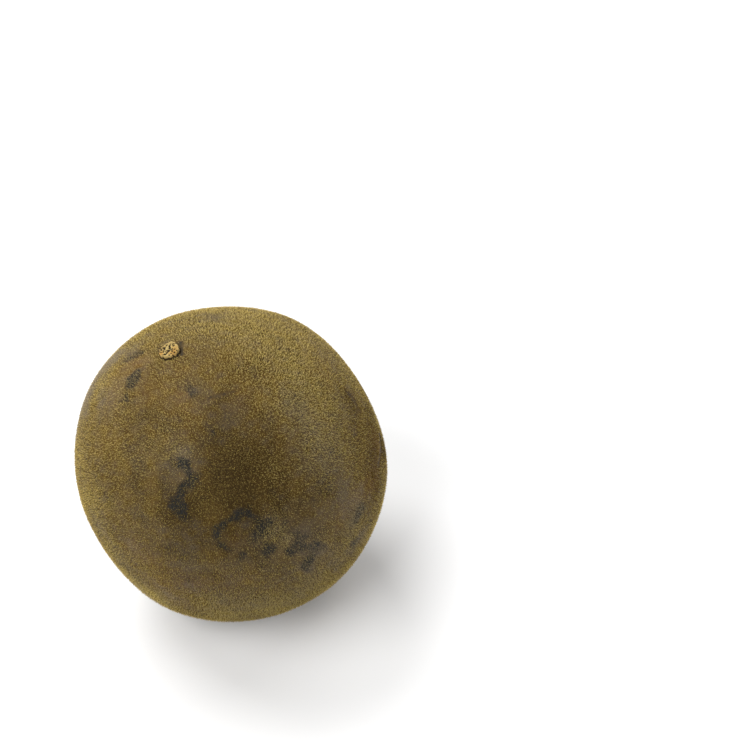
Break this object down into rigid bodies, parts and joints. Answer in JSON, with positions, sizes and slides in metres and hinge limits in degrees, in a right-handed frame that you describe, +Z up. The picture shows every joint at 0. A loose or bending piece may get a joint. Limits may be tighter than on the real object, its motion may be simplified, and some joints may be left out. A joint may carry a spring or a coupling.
{
  "type": "dried monk fruit",
  "caption": "Whole dried monk fruit: a round, slightly long, thin-rinded fruit with short hairs, a corky stalk scar and a small button at the flower end, resting on a small flat spot.",
  "frame": {"origin": "middle of the fruit's bounding box, on the surface it rests on", "axes": "+Z up; the stalk scar leans 17 degrees off +Z, mostly towards -X and a little towards -Y"},
  "size_m": [0.0586, 0.058, 0.0619],
  "materials": {
    "rind": "dull dry gourd rind, olive brown, mottled, with dark blue-grey stains",
    "hair": "short stiff straw-yellow hairs lying on the rind",
    "stalk_scar": "torn corky tissue, tan, with dark pits"
  },
  "bodies": {
    "root": {"monk_fruit": "rind"}
  },
  "joints": []
}
